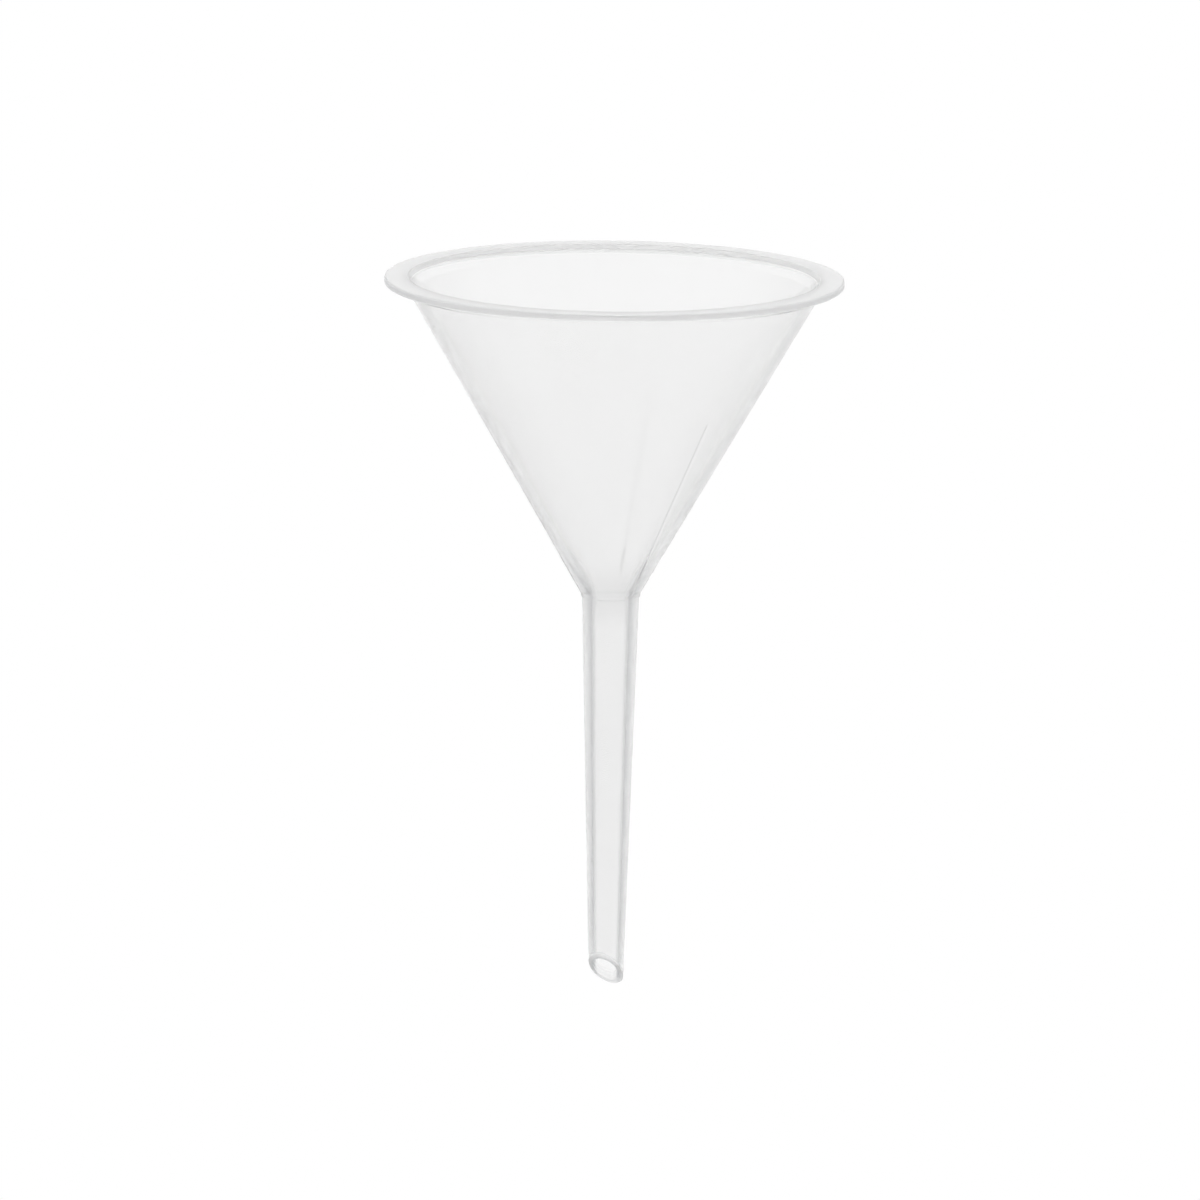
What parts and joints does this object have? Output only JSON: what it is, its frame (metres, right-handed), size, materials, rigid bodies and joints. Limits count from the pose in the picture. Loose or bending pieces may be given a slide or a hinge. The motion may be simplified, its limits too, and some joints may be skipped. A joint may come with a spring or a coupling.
{
  "type": "conical laboratory funnel",
  "caption": "Conical laboratory funnel moulded in translucent polypropylene, with a flat rim, ribbed cone and tapering slant-cut stem, for pouring and filtering liquids.",
  "frame": {"origin": "centre of the rim's flat face, which is the plane that the funnel stands on, mouth down", "axes": "+Z along the funnel's axis, from the rim's face to the tip of the stem; the tip's long point is towards -X +Y"},
  "size_m": [0.075, 0.075, 0.1173],
  "materials": {
    "polypropylene": "natural translucent moulding, semi-gloss"
  },
  "bodies": {
    "root": {"funnel": "polypropylene"}
  },
  "joints": []
}
